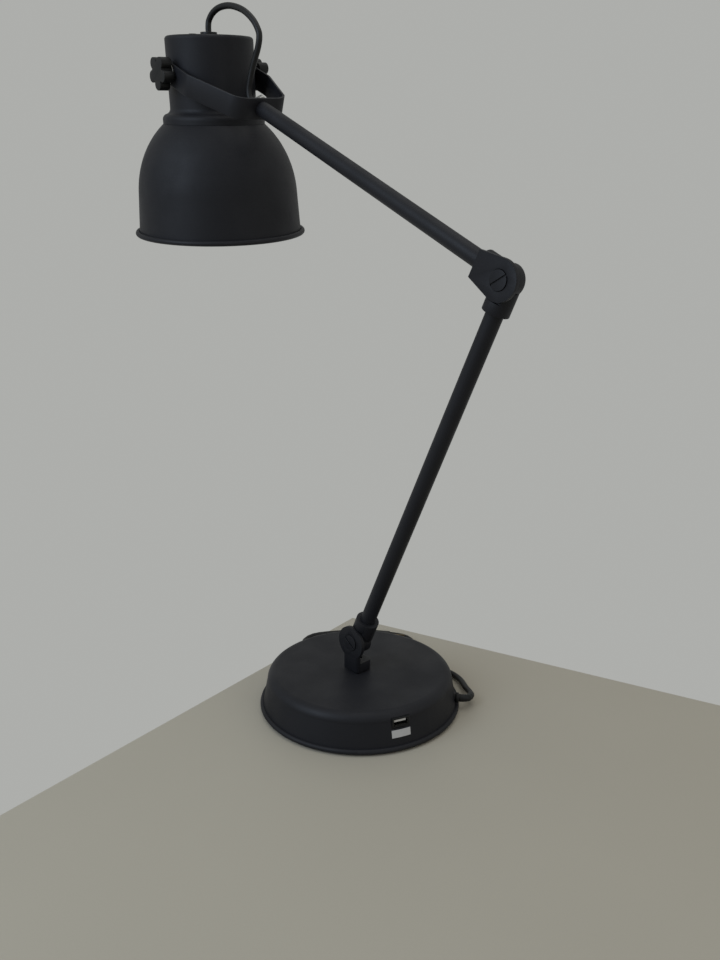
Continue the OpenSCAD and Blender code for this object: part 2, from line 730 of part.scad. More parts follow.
// Edge of the strap in the YZ plane, from a tine's end round both bends, to one side of its middle line
tine_straight = 30;
strap_mid = tine_in + strap_t / 2;
strap_tilt = atan2(strap_mid - cross_w / 2, fork_reach - tine_straight);
strap_normal = [cos(strap_tilt), -sin(strap_tilt)];
upper_bend = [strap_mid, -tine_straight] - bend_r * ([1, 0] + strap_normal) / (1 + strap_normal[0]);
lower_bend = [cross_w / 2, -fork_reach] - bend_r * ([0, -1] + strap_normal) / (1 - strap_normal[1]);
function strap_edge(side) = concat([[strap_mid + side, strap_w]],
  arc(upper_bend, bend_r + side, 0, -strap_tilt, 4), arc(lower_bend, bend_r + side, -strap_tilt, -90, 10));
function flipped(p) = [for (q = p) [-q[0], q[1]]];
function backward(p) = [for (i = [len(p) - 1:-1:0]) p[i]];
strap_profile = concat(
  strap_edge(strap_t / 2), backward(flipped(strap_edge(strap_t / 2))),
  flipped(strap_edge(-strap_t / 2)), backward(strap_edge(-strap_t / 2)));
module fork_strap() color(coat) at_fork() difference() {
  intersection() {
    rotate([90, 0, 90]) linear_extrude(strap_w, center = true) polygon(strap_profile);
    rotate([90, 0, 0]) linear_extrude(4 * tine_out, center = true) union() {
      translate([-strap_w / 2, -2 * fork_reach]) square([strap_w, 2 * fork_reach]);
      circle(d = strap_w);
    }
  }
  y_cyl(pivot_r + run_gap, -2 * tine_out, 2 * tine_out);
  translate([0, 0, -fork_reach - 2 * strap_t]) cylinder(h = 4 * strap_t, r = nipple_r + run_gap);
}
module knob_washers() color(steel) at_fork() for (s = [-1, 1])
  y_ring(strap_w / 2, pivot_r + run_gap,
    s > 0 ? tine_out + seat_gap : -tine_out - seat_gap - washer_t,
    s > 0 ? tine_out + seat_gap + washer_t : -tine_out - seat_gap);

// Shade: spun neck and bell, both turned about the shade's own axis
top_round = 3;
neck_t = shade_t;
flare_z = neck_top - neck_len;
flare_turn = 75;
lip_top = flare_z - 2 * flare_r * sin(flare_turn);
lip_bottom = lip_top - lip_h;
lip_r = neck_r + 2 * flare_r * (1 - cos(flare_turn));
flare_steps = 7;
flare_join = flare_turn * flare_steps / (flare_steps + 1);
switch_x = -28.5;
bush_wall = 1;
switch_r = button_r + run_gap + bush_wall;
grip_r = 5;

module shade_neck() color(coat) at_shade() difference() {
  rotate_extrude() polygon(concat(
    [[0, neck_top]],
    arc([neck_r - top_round, neck_top - top_round], top_round, 90, 0, 6),
    arc([neck_r + flare_r, flare_z], flare_r, 180, 180 + flare_turn, flare_steps + 1),
    arc([lip_r - flare_r, lip_top], flare_r, flare_join, 0, flare_steps),
    [[lip_r, lip_bottom], [lip_r - neck_t, lip_bottom]],
    arc([lip_r - flare_r, lip_top], flare_r - neck_t, 0, flare_turn, flare_steps + 1),
    arc([neck_r + flare_r, flare_z], flare_r + neck_t, 180 + flare_join, 180, flare_steps),
    arc([neck_r - top_round, neck_top - top_round], top_round - neck_t, 0, 90, 6),
    [[0, neck_top - neck_t]]));
  y_cyl(pivot_r + run_gap, -2 * neck_r, 2 * neck_r);
  translate([0, 0, neck_top - top_round]) cylinder(h = 2 * top_round, r = grip_r + run_gap);
  translate([switch_x, 0, neck_top - top_round]) cylinder(h = 2 * top_round, r = switch_r + run_gap);
}

// Bell: a collar inside the neck's lip, an elliptic dome and a flared skirt with a rolled edge
collar_r = lip_r - neck_t - seat_gap;
dome_foot_z = lip_bottom - bell_dome_h;
dome_b = bell_dome_h / sqrt(1 - pow(lip_r / bell_r, 2));
lip_clear = 0.2;
dome_start = asin((bell_dome_h - lip_clear) / dome_b);
dome_end = atan(skirt_flare / skirt_h * dome_b / bell_r);
collar_top = lip_top - free_gap;
collar_inner_foot = lip_bottom - shade_t - seat_gap;
skirt_r = bell_r + skirt_flare;
edge_z = dome_foot_z - skirt_h;
function dome(r_less, a) = [(bell_r - r_less) * cos(a), dome_foot_z + (dome_b - r_less) * sin(a)];
dome_steps = 20;
function dome_turn(i) = dome_start + (dome_end - dome_start) * i / dome_steps;
module shade_bell() color(coat) at_shade() {
  rotate_extrude() polygon(concat(
    [[collar_r, collar_top], [collar_r, lip_bottom - lip_clear]],
    [for (i = [0:dome_steps]) dome(0, dome_turn(i))],
    [[skirt_r, edge_z], [skirt_r - shade_t, edge_z]],
    [for (i = [dome_steps:-1:0]) dome(shade_t, dome_turn(i))],
    [[collar_r - shade_t, collar_inner_foot], [collar_r - shade_t, collar_top]]));
  translate([0, 0, edge_z]) rotate_extrude()
    translate([skirt_r + edge_d / 2 - shade_t, 0]) circle(d = edge_d);
}

// Lampholder on its nipple, and the bulb
holder_r = 19;
holder_drop = 17.5;
holder_top = neck_top - holder_drop;
holder_h = 46;
holder_bore = 14.2;
holder_roof = 6;
holder_foot = holder_top - holder_h;
cap_r = 13.2;
cap_h = 25;
bulb_neck_r = 14;
bulb_r = 30;
bulb_len = 85;
bulb_c = holder_foot - bulb_len + bulb_r;
glass_t = 1.2;
grip_nipple_bore = 3;
nipple_grip = 1;
nipple_foot = holder_top - holder_roof + 1;
grip_flange = 2.5;
cap_wall = 1;
module lampholder() color(black) at_shade() difference() {
  translate([0, 0, holder_foot]) cylinder(h = holder_h, r = holder_r);
  translate([0, 0, holder_foot - cut_over])
    cylinder(h = holder_h - holder_roof + cut_over, r = holder_bore);
  translate([0, 0, holder_top - 2 * holder_roof]) cylinder(h = 4 * holder_roof, r = grip_r + run_gap);
}
module lampholder_nipple() color(steel) at_shade() translate([0, 0, nipple_foot])
  pipe(grip_r, grip_nipple_bore, neck_top + nipple_grip - nipple_foot);
module cord_grip() color(black) at_shade() translate([0, 0, neck_top + seat_gap]) difference() {
  cylinder(h = cord_grip_h, r = grip_r + grip_flange);
  translate([0, 0, -cut_over]) cylinder(h = cut_over + nipple_grip, r = grip_r + run_gap);
  cylinder(h = 2 * cord_grip_h, r = head_cord_d / 2 + free_gap);
}
module bulb_cap() color(steel) at_shade() translate([0, 0, holder_foot])
  pipe(cap_r, cap_r - cap_wall, cap_h);

// Outline of the globe, drawn in by less at its wall
function globe(less) = concat(
  [[0, holder_foot - seat_gap - less], [bulb_neck_r - less, holder_foot - seat_gap - less]],
  arc([0, bulb_c], bulb_r - less, 30, -90, 14));
module bulb_globe() color(white) at_shade() difference() {
  rotate_extrude() polygon(globe(0));
  rotate_extrude() polygon(globe(glass_t));
}

// Push switch in the top of the neck
switch_body_r = 6.4;
switch_body_h = 13;
switch_ring_h = 1.5;
button_proud = 3.4;
button_in = 6;
button_clear = 0.6;
bush_proud = 0.5;
module switch_housing() color(black) at_shade() translate([switch_x, 0, 0]) difference() {
  union() {
    translate([0, 0, neck_top - neck_t - seat_gap - switch_body_h])
      cylinder(h = switch_body_h, r = switch_body_r);
    translate([0, 0, neck_top - neck_t - cut_over])
      cylinder(h = neck_t + cut_over + switch_ring_h + bush_proud, r = switch_r);
  }
  translate([0, 0, neck_top - button_in - button_travel - button_clear])
    cylinder(h = 2 * switch_body_h, r = button_r + run_gap);
}
ring_w = 2;
module switch_ring() color(steel) at_shade() translate([switch_x, 0, neck_top + seat_gap])
  pipe(switch_r + ring_w, switch_r + run_gap, switch_ring_h);
module switch_button() color(black) at_shade() translate([switch_x, 0, neck_top - button_in])
  cylinder(h = button_in + button_proud, r = button_r);

// Pivot hardware and star knobs
pivot_nut_r = 6;
pivot_nut_h = 4;
pivot_nut_inset = 0.8;
stud_tail = 1;
knob_cap = 2;
pivot_nut_out = neck_r - neck_t - pivot_nut_inset;
stud_start = pivot_nut_out - pivot_nut_h - stud_tail;
stud_end = knob_in + knob_t - knob_cap;
module pivot_studs() color(steel) at_shade() for (s = [-1, 1])
  y_cyl(pivot_r, s > 0 ? stud_start : -stud_end, s > 0 ? stud_end : -stud_start);
module pivot_nuts() color(steel) at_shade() for (s = [-1, 1])
  translate([0, s > 0 ? pivot_nut_out - pivot_nut_h : -pivot_nut_out, 0]) rotate([-90, 0, 0])
    hex_nut(pivot_nut_r, pivot_nut_h, pivot_r + run_gap);
module pivot_spacers() color(black) at_shade() for (s = [-1, 1])
  y_ring(strap_w / 2, pivot_r + run_gap, s > 0 ? neck_r + run_gap : -tine_in + seat_gap,
    s > 0 ? tine_in - seat_gap : -neck_r - run_gap);

lobe_r = 5;
hub_r = 7.2;
core_r = 8.8;
left_turn = 90;
right_turn = 36;
module star_knob(turn) difference() {
  union() {
    y_cyl(hub_r, hub_in, knob_in + cut_over);
    translate([0, knob_in, 0]) rotate([-90, 0, 0]) linear_extrude(knob_t) union() {
      circle(core_r);
      for (i = [0:knob_lobes - 1]) rotate(turn + 360 * i / knob_lobes)
        translate([knob_r - lobe_r, 0]) circle(lobe_r);
    }
  }
  y_cyl(pivot_r + run_gap, hub_in - cut_over, stud_end + free_gap);
}
module right_knob() color(black) at_shade() star_knob(right_turn);
module left_knob() color(black) at_shade() mirror([0, 1, 0]) star_knob(left_turn);

base_shell();
base_pad();
bottom_plate();
ballast_weight();
weld_studs();
bottom_screws();
usb_bezel();
usb_socket();
usb_tongue();
power_board();
board_standoffs();
transformer();
rating_label();
cord_gland();
swivel_washer();
mains_cord();
cord_hank();
cord_tie();
cord_tail();
plug_body();
plug_blades();
base_fitting();
hollow_bolt();
lock_nut();
base_hinge_screw();
base_hinge_nut();
base_hinge_washer();
lower_arm_foot();
lower_tube();
lower_arm_head();
lower_cable();
lower_grub_screws();
elbow_screw();
elbow_nut();
elbow_washer();
upper_arm_foot();
upper_tube();
upper_cable();
upper_grub_screw();
tube_end_insert();
fork_nipple();
fork_nut();
fork_strap();
knob_washers();
head_cord();
shade_neck();
shade_bell();
lampholder();
lampholder_nipple();
cord_grip();
bulb_cap();
bulb_globe();
switch_housing();
switch_ring();
pivot_studs();
pivot_nuts();
pivot_spacers();
left_knob();
right_knob();
switch_button();
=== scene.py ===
"""Jointed work lamp: finishes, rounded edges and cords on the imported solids."""

import json
import math

import bmesh
import bpy
from mathutils import Matrix, Vector


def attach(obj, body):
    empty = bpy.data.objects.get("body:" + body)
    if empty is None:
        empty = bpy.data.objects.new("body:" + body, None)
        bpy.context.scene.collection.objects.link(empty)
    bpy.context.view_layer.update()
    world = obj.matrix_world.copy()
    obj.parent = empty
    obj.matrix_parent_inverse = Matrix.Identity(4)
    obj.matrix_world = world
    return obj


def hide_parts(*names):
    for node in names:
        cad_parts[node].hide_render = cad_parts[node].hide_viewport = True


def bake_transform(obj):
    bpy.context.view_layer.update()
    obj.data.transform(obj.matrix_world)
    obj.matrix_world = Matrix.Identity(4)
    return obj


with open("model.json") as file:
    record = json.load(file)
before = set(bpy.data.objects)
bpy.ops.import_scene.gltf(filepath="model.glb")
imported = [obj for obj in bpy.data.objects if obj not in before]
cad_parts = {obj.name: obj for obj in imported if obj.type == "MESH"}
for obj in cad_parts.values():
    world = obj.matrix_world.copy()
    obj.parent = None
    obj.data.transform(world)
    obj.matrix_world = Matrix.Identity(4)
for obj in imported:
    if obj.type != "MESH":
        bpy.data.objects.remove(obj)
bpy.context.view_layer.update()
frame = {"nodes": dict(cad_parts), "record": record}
record = frame["record"]
body_of = {n: body for body, nodes in record["behaviour"]["bodies"].items() for n in nodes}
slot_of = {p["node"]: p["material_slot"] for p in record["subparts"]}
MM = 0.001

# Camera, fitted to the photograph: its focal length in the photograph's pixels, its place in metres, and its
# angles in degrees round the lamp from the front, downwards, and about its own line of sight
FRAME_H_PX = 960
FOCAL_PX = 821.9
SENSOR = 36
CAMERA_AT = (0.4930, -0.4630, 0.3852)
CAMERA_ROUND, CAMERA_DOWN, CAMERA_ROLL = 46.84, 14.65, 0.23


def set_camera():
    data = bpy.data.cameras.new("camera")
    data.sensor_width = SENSOR
    data.lens = FOCAL_PX / FRAME_H_PX * SENSOR
    data.clip_start, data.clip_end = 0.01, 20
    camera = bpy.data.objects.new("camera", data)
    bpy.context.collection.objects.link(camera)
    around, down, roll = (math.radians(a) for a in (CAMERA_ROUND, CAMERA_DOWN, CAMERA_ROLL))
    level = Vector((-math.sin(around), math.cos(around), 0))
    ahead = math.cos(down) * level - math.sin(down) * Vector((0, 0, 1))
    turn = ahead.to_track_quat("-Z", "Y").to_matrix().to_4x4() @ Matrix.Rotation(roll, 4, "Z")
    camera.matrix_world = Matrix.Translation(CAMERA_AT) @ turn
    bpy.context.scene.camera = camera


# Node groups shared by the finishes
SPECK_SHARE = 0.35
DUST_PATCHES = 55


def new_group(name, inputs, outputs):
    tree = bpy.data.node_groups.new(name, "ShaderNodeTree")
    for label, kind in inputs:
        tree.interface.new_socket(label, in_out="INPUT", socket_type=kind)
    for label, kind in outputs:
        tree.interface.new_socket(label, in_out="OUTPUT", socket_type=kind)
    return tree, tree.nodes.new("NodeGroupInput"), tree.nodes.new("NodeGroupOutput")


def make_mottled_tone():
    """Two close tones in soft patches, with finer specks over them."""
    tree, take, give = new_group(
        "mottled_tone",
        [("Vector", "NodeSocketVector"), ("Patch Scale", "NodeSocketFloat"),
         ("Speck Scale", "NodeSocketFloat"), ("Tone", "NodeSocketColor"), ("Deep Tone", "NodeSocketColor")],
        [("Colour", "NodeSocketColor"), ("Patches", "NodeSocketFloat")])
    link, nodes = tree.links.new, tree.nodes
    patches = nodes.new("ShaderNodeTexNoise")
    patches.inputs["Detail"].default_value = 4
    specks = nodes.new("ShaderNodeTexNoise")
    specks.inputs["Detail"].default_value = 1
    blend = nodes.new("ShaderNodeMath")
    blend.operation = "MULTIPLY_ADD"
    blend.inputs[1].default_value = SPECK_SHARE
    spread = nodes.new("ShaderNodeMapRange")
    spread.inputs["From Min"].default_value = 0.45
    spread.inputs["From Max"].default_value = 0.9
    mix = nodes.new("ShaderNodeMix")
    mix.data_type = "RGBA"
    link(take.outputs["Vector"], patches.inputs["Vector"])
    link(take.outputs["Vector"], specks.inputs["Vector"])
    link(take.outputs["Patch Scale"], patches.inputs["Scale"])
    link(take.outputs["Speck Scale"], specks.inputs["Scale"])
    link(specks.outputs[0], blend.inputs[0])
    link(patches.outputs[0], blend.inputs[2])
    link(blend.outputs[0], spread.inputs["Value"])
    link(spread.outputs["Result"], mix.inputs["Factor"])
    link(take.outputs["Deep Tone"], mix.inputs["A"])
    link(take.outputs["Tone"], mix.inputs["B"])
    link(mix.outputs["Result"], give.inputs["Colour"])
    link(spread.outputs["Result"], give.inputs["Patches"])
    return tree


def make_fine_grain():
    """Height of a pebbled surface: small rounded bumps under a finer dust of grains."""
    tree, take, give = new_group(
        "fine_grain",
        [("Vector", "NodeSocketVector"), ("Scale", "NodeSocketFloat")],
        [("Height", "NodeSocketFloat")])
    link, nodes = tree.links.new, tree.nodes
    bumps = nodes.new("ShaderNodeTexVoronoi")
    bumps.feature = "SMOOTH_F1"
    bumps.inputs["Smoothness"].default_value = 0.8
    grains = nodes.new("ShaderNodeTexNoise")
    grains.inputs["Detail"].default_value = 2
    total = nodes.new("ShaderNodeMath")
    total.operation = "ADD"
    link(take.outputs["Vector"], bumps.inputs["Vector"])
    link(take.outputs["Vector"], grains.inputs["Vector"])
    link(take.outputs["Scale"], bumps.inputs["Scale"])
    link(take.outputs["Scale"], grains.inputs["Scale"])
    link(bumps.outputs["Distance"], total.inputs[0])
    link(grains.outputs[0], total.inputs[1])
    link(total.outputs[0], give.inputs["Height"])
    return tree


def make_settled_dust():
    """Where a faint dust lies: on faces that look up, in patches."""
    tree, take, give = new_group(
        "settled_dust",
        [("Vector", "NodeSocketVector"), ("Facing", "NodeSocketVector"), ("Amount", "NodeSocketFloat")],
        [("Mask", "NodeSocketFloat")])
    link, nodes = tree.links.new, tree.nodes
    part = nodes.new("ShaderNodeSeparateXYZ")
    upward = nodes.new("ShaderNodeMapRange")
    upward.inputs["From Min"].default_value = 0.35
    patches = nodes.new("ShaderNodeTexNoise")
    patches.inputs["Scale"].default_value = DUST_PATCHES
    patches.inputs["Detail"].default_value = 5
    both = nodes.new("ShaderNodeMath")
    both.operation = "MULTIPLY"
    scaled = nodes.new("ShaderNodeMath")
    scaled.operation = "MULTIPLY"
    link(take.outputs["Facing"], part.inputs[0])
    link(part.outputs["Z"], upward.inputs["Value"])
    link(take.outputs["Vector"], patches.inputs["Vector"])
    link(upward.outputs["Result"], both.inputs[0])
    link(patches.outputs[0], both.inputs[1])
    link(both.outputs[0], scaled.inputs[0])
    link(take.outputs["Amount"], scaled.inputs[1])
    link(scaled.outputs[0], give.inputs["Mask"])
    return tree


MOTTLED_TONE = make_mottled_tone()
FINE_GRAIN = make_fine_grain()
SETTLED_DUST = make_settled_dust()
DUST_TONE = (0.16, 0.155, 0.145)
GRAIN_DEPTH = 0.2 * MM


def finish(name, tone, deep, rough, swing=0.08, metal=0.0, patch=25, speck=900, grain=2600, bump=0.12,
           dust=0.0, specular=0.5, clear=0.0):
    """A mottled, finely grained finish. Colours are linear. The roughness swings to both sides of rough, and
    patch, speck and grain are how many of each there are to a metre."""
    material = bpy.data.materials.new(name)
    material.use_nodes = True
    nodes, link = material.node_tree.nodes, material.node_tree.links.new
    shader = nodes["Principled BSDF"]
    place = nodes.new("ShaderNodeTexCoord")
    toned = nodes.new("ShaderNodeGroup")
    toned.node_tree = MOTTLED_TONE
    toned.inputs["Patch Scale"].default_value = patch
    toned.inputs["Speck Scale"].default_value = speck
    toned.inputs["Tone"].default_value = (*tone, 1)
    toned.inputs["Deep Tone"].default_value = (*deep, 1)
    link(place.outputs["Object"], toned.inputs["Vector"])
    colour = toned.outputs["Colour"]
    if dust:
        facing = nodes.new("ShaderNodeNewGeometry")
        dusty = nodes.new("ShaderNodeGroup")
        dusty.node_tree = SETTLED_DUST
        dusty.inputs["Amount"].default_value = dust
        link(place.outputs["Object"], dusty.inputs["Vector"])
        link(facing.outputs["Normal"], dusty.inputs["Facing"])
        over = nodes.new("ShaderNodeMix")
        over.name = "dust_over_tone"
        over.data_type = "RGBA"
        over.inputs["B"].default_value = (*DUST_TONE, 1)
        link(dusty.outputs["Mask"], over.inputs["Factor"])
        link(colour, over.inputs["A"])
        colour = over.outputs["Result"]
    link(colour, shader.inputs["Base Color"])
    gloss = nodes.new("ShaderNodeMapRange")
    gloss.inputs["To Min"].default_value = rough + swing
    gloss.inputs["To Max"].default_value = rough - swing
    link(toned.outputs["Patches"], gloss.inputs["Value"])
    link(gloss.outputs["Result"], shader.inputs["Roughness"])
    grains = nodes.new("ShaderNodeGroup")
    grains.node_tree = FINE_GRAIN
    grains.inputs["Scale"].default_value = grain
    link(place.outputs["Object"], grains.inputs["Vector"])
    relief = nodes.new("ShaderNodeBump")
    relief.inputs["Strength"].default_value = bump
    relief.inputs["Distance"].default_value = GRAIN_DEPTH
    link(grains.outputs["Height"], relief.inputs["Height"])
    link(relief.outputs["Normal"], shader.inputs["Normal"])
    shader.inputs["Metallic"].default_value = metal
    shader.inputs["Specular IOR Level"].default_value = specular
    shader.inputs["Coat Weight"].default_value = clear
    return material


# One finish for each material slot of the record, and two more for rubbed edges and the outlet's shell,
# whose steel is darkened as painted shade of its recess
FINISHES = {
    "coat": finish(
        "powder_coat", (0.0102, 0.0108, 0.0138), (0.0073, 0.0077, 0.01), 0.54, dust=0.04, specular=0.24),
    "black_plastic": finish(
        "moulded_black", (0.0068, 0.0073, 0.0076), (0.005, 0.0054, 0.0056), 0.48, grain=1800, specular=0.26),
    "cord_sheath": finish(
        "cord_pvc", (0.0068, 0.0068, 0.007), (0.005, 0.005, 0.0052), 0.48, grain=2200, bump=0.06,
        specular=0.3),
    "steel": finish(
        "zinc_steel", (0.62, 0.62, 0.6), (0.5, 0.5, 0.49), 0.34, metal=1, patch=90, bump=0.05),
    "plate_steel": finish(
        "plain_steel", (0.45, 0.45, 0.44), (0.33, 0.33, 0.33), 0.45, metal=1, patch=40, bump=0.06),
    "brass": finish(
        "dull_brass", (0.17, 0.125, 0.065), (0.12, 0.088, 0.045), 0.42, metal=1, patch=120, bump=0.04),
    "iron": finish(
        "cast_iron", (0.06, 0.058, 0.056), (0.035, 0.033, 0.032), 0.7, patch=60, grain=700, bump=0.4),
    "foam": finish("foam_pad", (0.035, 0.035, 0.035), (0.022, 0.022, 0.022), 0.9, grain=900, bump=0.6),
    "board": finish("circuit_board", (0.02, 0.11, 0.045), (0.014, 0.08, 0.03), 0.35, bump=0.05),
    "winding": finish("copper_winding", (0.55, 0.24, 0.1), (0.4, 0.15, 0.06), 0.38, metal=0.6, bump=0.2),
    "white_plastic": finish("white_plastic", (0.7, 0.7, 0.68), (0.62, 0.62, 0.6), 0.4, bump=0.04),
    "label": finish("bare_label", (0.5, 0.5, 0.49), (0.43, 0.43, 0.42), 0.5, bump=0.06),
    "opal_glass": finish(
        "opal_glass", (0.82, 0.82, 0.79), (0.76, 0.76, 0.74), 0.22, swing=0.03, bump=0.01, clear=0.4),
}
RUBBED = finish(
    "rubbed_coat_edge", (0.0145, 0.0155, 0.019), (0.0105, 0.0112, 0.014), 0.46, dust=0.04, specular=0.3)
# The outlet's steel shell, darkened well below plain steel: painted shade standing for the shade inside the
# recess
OUTLET_STEEL_PAINTED_SHADE = finish(
    "outlet_steel_painted_shade", (0.13, 0.13, 0.126), (0.09, 0.09, 0.088), 0.4, metal=1, patch=90, bump=0.05)

# Rounded copies of the hard-edged solids, with the radius of each one's edges in millimetres
EDGES = {
    "base_fitting": 0.7, "lower_arm_foot": 0.7, "lower_arm_head": 0.7, "upper_arm_foot": 0.7,
    "base_hinge_screw": 0.35, "elbow_screw": 0.35, "fork_strap": 0.35, "left_knob": 1.3, "right_knob": 1.3,
    "knob_washers": 0.2, "base_hinge_nut": 0.3, "elbow_nut": 0.3, "plug_body": 1.0, "plug_blades": 0.25,
    "cord_gland": 0.6, "cord_grip": 0.6, "switch_ring": 0.3, "switch_button": 0.7, "usb_bezel": 0.25,
    "cord_tie": 0.2, "fork_nut": 0.3, "pivot_spacers": 0.3, "swivel_washer": 0.25,
}
EDGE_SEGMENTS = 3
SHARP_ANGLE = math.radians(32)
FLAT_ANGLE = math.radians(1)
CORNER_GAP = 0.002 * MM


def rounded(node, edge):
    """A copy of a solid with its flat faces whole again and its sharp edges rounded and a little rubbed."""
    shell = bmesh.new()
    shell.from_mesh(frame["nodes"][node].data)
    bmesh.ops.remove_doubles(shell, verts=shell.verts, dist=CORNER_GAP)
    bmesh.ops.dissolve_limit(
        shell, angle_limit=FLAT_ANGLE, use_dissolve_boundaries=False,
        verts=shell.verts, edges=shell.edges, delimit=set())
    for face in shell.faces:
        face.smooth = True
    mesh = bpy.data.meshes.new(node + "_finished")
    shell.to_mesh(mesh)
    shell.free()
    piece = bpy.data.objects.new(node + "_finished", mesh)
    bpy.context.collection.objects.link(piece)
    slot = slot_of[node]
    mesh.materials.clear()
    mesh.materials.append(FINISHES[slot])
    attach(piece, body_of[node])
    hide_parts(node)
    round_edges = piece.modifiers.new("round_edges", "BEVEL")
    round_edges.width = edge * MM
    round_edges.segments = EDGE_SEGMENTS
    round_edges.limit_method = "ANGLE"
    round_edges.angle_limit = SHARP_ANGLE
    round_edges.harden_normals = True
    if slot == "coat":
        mesh.materials.append(RUBBED)
        round_edges.material = 1
    return piece


# Cords, on the routes of the part's source, in millimetres
CORD_D = 5.5
HEAD_CORD_D = 5.3
ROUND_STEPS = 6
SEAM_GAP = 0.001 * MM
BASE_RIM_R = 90
RIM_GAP = 0.3
TABLE_GAP = 0.1

# The hank behind the base: its middle angle and half angle, its inner fold's radius, the step between
# its turns, the points of a turn, and the share of a turn that each of its two runs takes
HANK_AZ, HANK_HALF = 137, 18
HANK_IN_W, HANK_STEP, HANK_TURNS = 15, 6.3, 1.5
HANK_POINTS, RUN_SHARE = 48, 0.3
HANK_LOW = CORD_D / 2 + TABLE_GAP
HANK_MID_R = BASE_RIM_R + RIM_GAP + CORD_D / 2 + HANK_IN_W + HANK_STEP * HANK_TURNS

# The ends of the mains cord, at its gland and at its plug
GLAND_AZ, GLAND_END_R, GLAND_Z = math.radians(38.5), 89.6, 10.6
GLAND_END = Vector((GLAND_END_R * math.cos(GLAND_AZ), GLAND_END_R * math.sin(GLAND_AZ), GLAND_Z))
PLUG_AZ, PLUG_AT, PLUG_TAIL_ALONG = math.radians(37), Vector((-70.5, 95.4, 6.2)), -28
PLUG_TAIL = PLUG_AT + PLUG_TAIL_ALONG * Vector((math.cos(PLUG_AZ), math.sin(PLUG_AZ), 0))

# Points from the gland to the hank, from the hank to the plug, and from the shade's grip to the upper tube
LEAD = [
    (72.8, 57.9, 10.5), (75.2, 62.5, 10), (73, 69.5, 9), (66.5, 75.5, 7.5), (58.5, 80.5, 6), (50, 86.5, 5),
    (41, 92, 4.2), (30, 95.6, 3.4), (17.5, 96.6, 3), (4, 95.8, 2.9), (-9.5, 93.8, 2.9), (-22, 90.8, 2.9),
    (-34, 87, 2.9)]
TAIL = [(-115, 65.2, 2.9), (-111.1, 68.4, 3.2), (-106.4, 70.7, 3.9), (-101.8, 72.6, 4.9), (-97.4, 75.1, 5.8)]
HEAD = [
    (-198.2, -3.9, 585.4), (-197.3, -4.7, 591.8), (-195.6, -4.7, 597), (-189.5, -4.2, 602),
    (-179, -3.6, 604.3), (-164, -3, 602.6), (-147, -2.4, 596), (-134, -2, 586.5), (-127, -1.6, 577),
    (-126, -1.4, 571), (-128.5, -1.2, 564), (-133.5, -1, 556), (-138.5, -0.8, 547.5), (-142.2, -0.6, 539.5),
    (-144.4, -0.4, 532.5), (-143.6, -0.2, 526.4), (-139.4, 0, 522.2), (-132.5, 0, 518.6)]
MAINS_STEPS, HEAD_STEPS = 8, 6

# The ribbed sleeve on the mains cord: its length, and its radius as a share of the cord's
SLEEVE_LEN = 20
SLEEVE_START, SLEEVE_TAPER, SLEEVE_RIB, RIB_POINTS = 1.28, 0.2, 0.03, 4


def smooth(points, steps):
    """Points of a smooth curve through a route's own points."""
    p = [Vector(q) for q in points]
    last = len(p) - 1
    curve = []
    for i in range(last):
        a, b, c, d = p[max(i - 1, 0)], p[i], p[i + 1], p[min(i + 2, last)]
        slope, bend, twist = c - a, 2 * a - 5 * b + 4 * c - d, 3 * b - a - 3 * c + d
        for k in range(steps):
            t = k / steps
            curve.append(b + 0.5 * t * (slope + t * (bend + t * twist)))
    return curve + [p[last]]


def hank_point(u):
    """A point of the hank, u turns from its start: two runs bent round the base and two folds to a turn."""
    width = HANK_IN_W + HANK_STEP * (HANK_TURNS - u)
    share = u - math.floor(u)
    way = 1 if share < 0.5 else -1
    share -= 0 if share < 0.5 else 0.5
    if share < RUN_SHARE:
        t = share / RUN_SHARE
        a = math.radians(HANK_AZ + way * HANK_HALF * (2 * t - 1))
        out, along = HANK_MID_R - way * width, 0
    else:
        t = math.pi * (share - RUN_SHARE) / (0.5 - RUN_SHARE)
        a = math.radians(HANK_AZ + way * HANK_HALF)
        out, along = HANK_MID_R - way * width * math.cos(t), way * width * math.sin(t)
    x = out * math.cos(a) - along * math.sin(a)
    y = out * math.sin(a) + along * math.cos(a)
    return Vector((x, y, HANK_LOW))


def mains_route():
    """The mains cord's whole line in metres, from the gland round the base and the hank to the plug."""
    hank = [hank_point(i / HANK_POINTS) for i in range(int(HANK_TURNS * HANK_POINTS) + 1)]
    start = hank[0] - CORD_D * (hank[1] - hank[0]).normalized()
    end = hank[-1] + CORD_D * (hank[-1] - hank[-2]).normalized()
    lead = smooth([GLAND_END] + LEAD + [start], MAINS_STEPS)
    tail = smooth([end] + TAIL + [PLUG_TAIL], MAINS_STEPS)
    return [q * MM for q in lead + hank + tail]


def cord_curve(name, route, diameter, radii=None):
    """A round cord along a route, as a curve."""
    data = bpy.data.curves.new(name, "CURVE")
    data.dimensions = "3D"
    data.bevel_depth = diameter * MM / 2
    data.bevel_resolution = ROUND_STEPS
    data.use_fill_caps = True
    line = data.splines.new("POLY")
    line.points.add(len(route) - 1)
    for i, (point, q) in enumerate(zip(line.points, route)):
        point.co = (*q, 1)
        point.radius = radii[i] if radii else 1
    piece = bpy.data.objects.new(name, data)
    bpy.context.collection.objects.link(piece)
    return piece


def as_mesh(piece):
    """The curve's tube as a mesh object of the same name."""
    name = piece.name
    graph = bpy.context.evaluated_depsgraph_get()
    mesh = bpy.data.meshes.new_from_object(piece.evaluated_get(graph))
    bpy.data.objects.remove(piece)
    tube = bmesh.new()
    tube.from_mesh(mesh)
    bmesh.ops.remove_doubles(tube, verts=tube.verts, dist=SEAM_GAP)
    for face in tube.faces:
        face.smooth = True
    tube.to_mesh(mesh)
    tube.free()
    made = bpy.data.objects.new(name, mesh)
    bpy.context.collection.objects.link(made)
    return made


